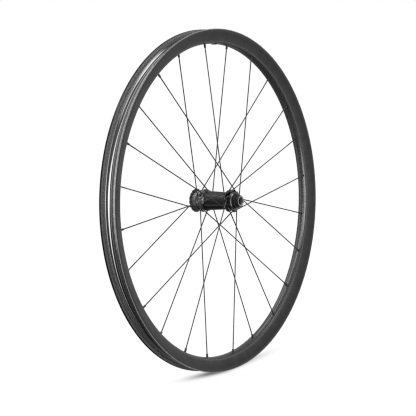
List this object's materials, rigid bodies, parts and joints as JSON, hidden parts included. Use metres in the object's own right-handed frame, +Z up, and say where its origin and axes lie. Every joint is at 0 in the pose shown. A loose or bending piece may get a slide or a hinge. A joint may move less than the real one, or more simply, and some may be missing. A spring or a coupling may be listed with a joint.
{
  "type": "front bicycle wheel",
  "caption": "Front bicycle wheel with a hollow hookless rim, straight-pull spokes and a through-axle hub that spins on sealed bearings and has a splined seat for a brake rotor.",
  "frame": {"origin": "middle of the axle, in the rim's centre plane", "axes": "+Y along the axle to the brake rotor's side (left), +X forward, +Z up"},
  "size_m": [0.6328, 0.11, 0.6328],
  "materials": {
    "rim_carbon": "satin clear coat over carbon fibre",
    "spoke_black": "black coated",
    "nipple_black": "black anodised",
    "hub_black": "black anodised",
    "lockring_black": "black anodised",
    "axle_aluminium": "bare, turned",
    "bearing_steel": "ground",
    "cage_plastic": "moulded",
    "seal_rubber": "matte"
  },
  "bodies": {
    "axle": {"axle": "axle_aluminium", "end_cap_o_rings": "seal_rubber", "end_cap_left": "hub_black", "end_cap_right": "hub_black", "bearing_inner_ring_left": "bearing_steel", "bearing_inner_ring_right": "bearing_steel"},
    "wheel": {"rim": "rim_carbon", "nipples": "nipple_black", "hub_shell": "hub_black", "rotor_lockring": "lockring_black", "spoke_01": "spoke_black", "spoke_02": "spoke_black", "spoke_03": "spoke_black", "spoke_04": "spoke_black", "spoke_05": "spoke_black", "spoke_06": "spoke_black", "spoke_07": "spoke_black", "spoke_08": "spoke_black", "spoke_09": "spoke_black", "spoke_10": "spoke_black", "spoke_11": "spoke_black", "spoke_12": "spoke_black", "spoke_13": "spoke_black", "spoke_14": "spoke_black", "spoke_15": "spoke_black", "spoke_16": "spoke_black", "spoke_17": "spoke_black", "spoke_18": "spoke_black", "spoke_19": "spoke_black", "spoke_20": "spoke_black", "spoke_21": "spoke_black", "spoke_22": "spoke_black", "spoke_23": "spoke_black", "spoke_24": "spoke_black", "bearing_outer_ring_left": "bearing_steel", "bearing_outer_ring_right": "bearing_steel", "bearing_seals_left": "seal_rubber", "bearing_seals_right": "seal_rubber", "dust_seal_left": "seal_rubber", "dust_seal_right": "seal_rubber"},
    "ball_set_left": {"bearing_balls_left": "bearing_steel", "bearing_cage_left": "cage_plastic"},
    "ball_set_right": {"bearing_balls_right": "bearing_steel", "bearing_cage_right": "cage_plastic"}
  },
  "joints": [
    {"name": "wheel_spin", "type": "hinge", "parent": "axle", "child": "wheel", "pos_m": [0, 0, 0], "axis": [0, 1, 0], "continuous": true},
    {"name": "ball_set_left_spin", "type": "hinge", "parent": "axle", "child": "ball_set_left", "pos_m": [0, 0.0365, 0], "axis": [0, 1, 0], "continuous": true},
    {"name": "ball_set_right_spin", "type": "hinge", "parent": "axle", "child": "ball_set_right", "pos_m": [0, -0.0365, 0], "axis": [0, 1, 0], "continuous": true}
  ],
  "couplings": [
    {"joint": "ball_set_left_spin", "follows": "wheel_spin", "ratio": 0.583},
    {"joint": "ball_set_right_spin", "follows": "wheel_spin", "ratio": 0.583}
  ]
}
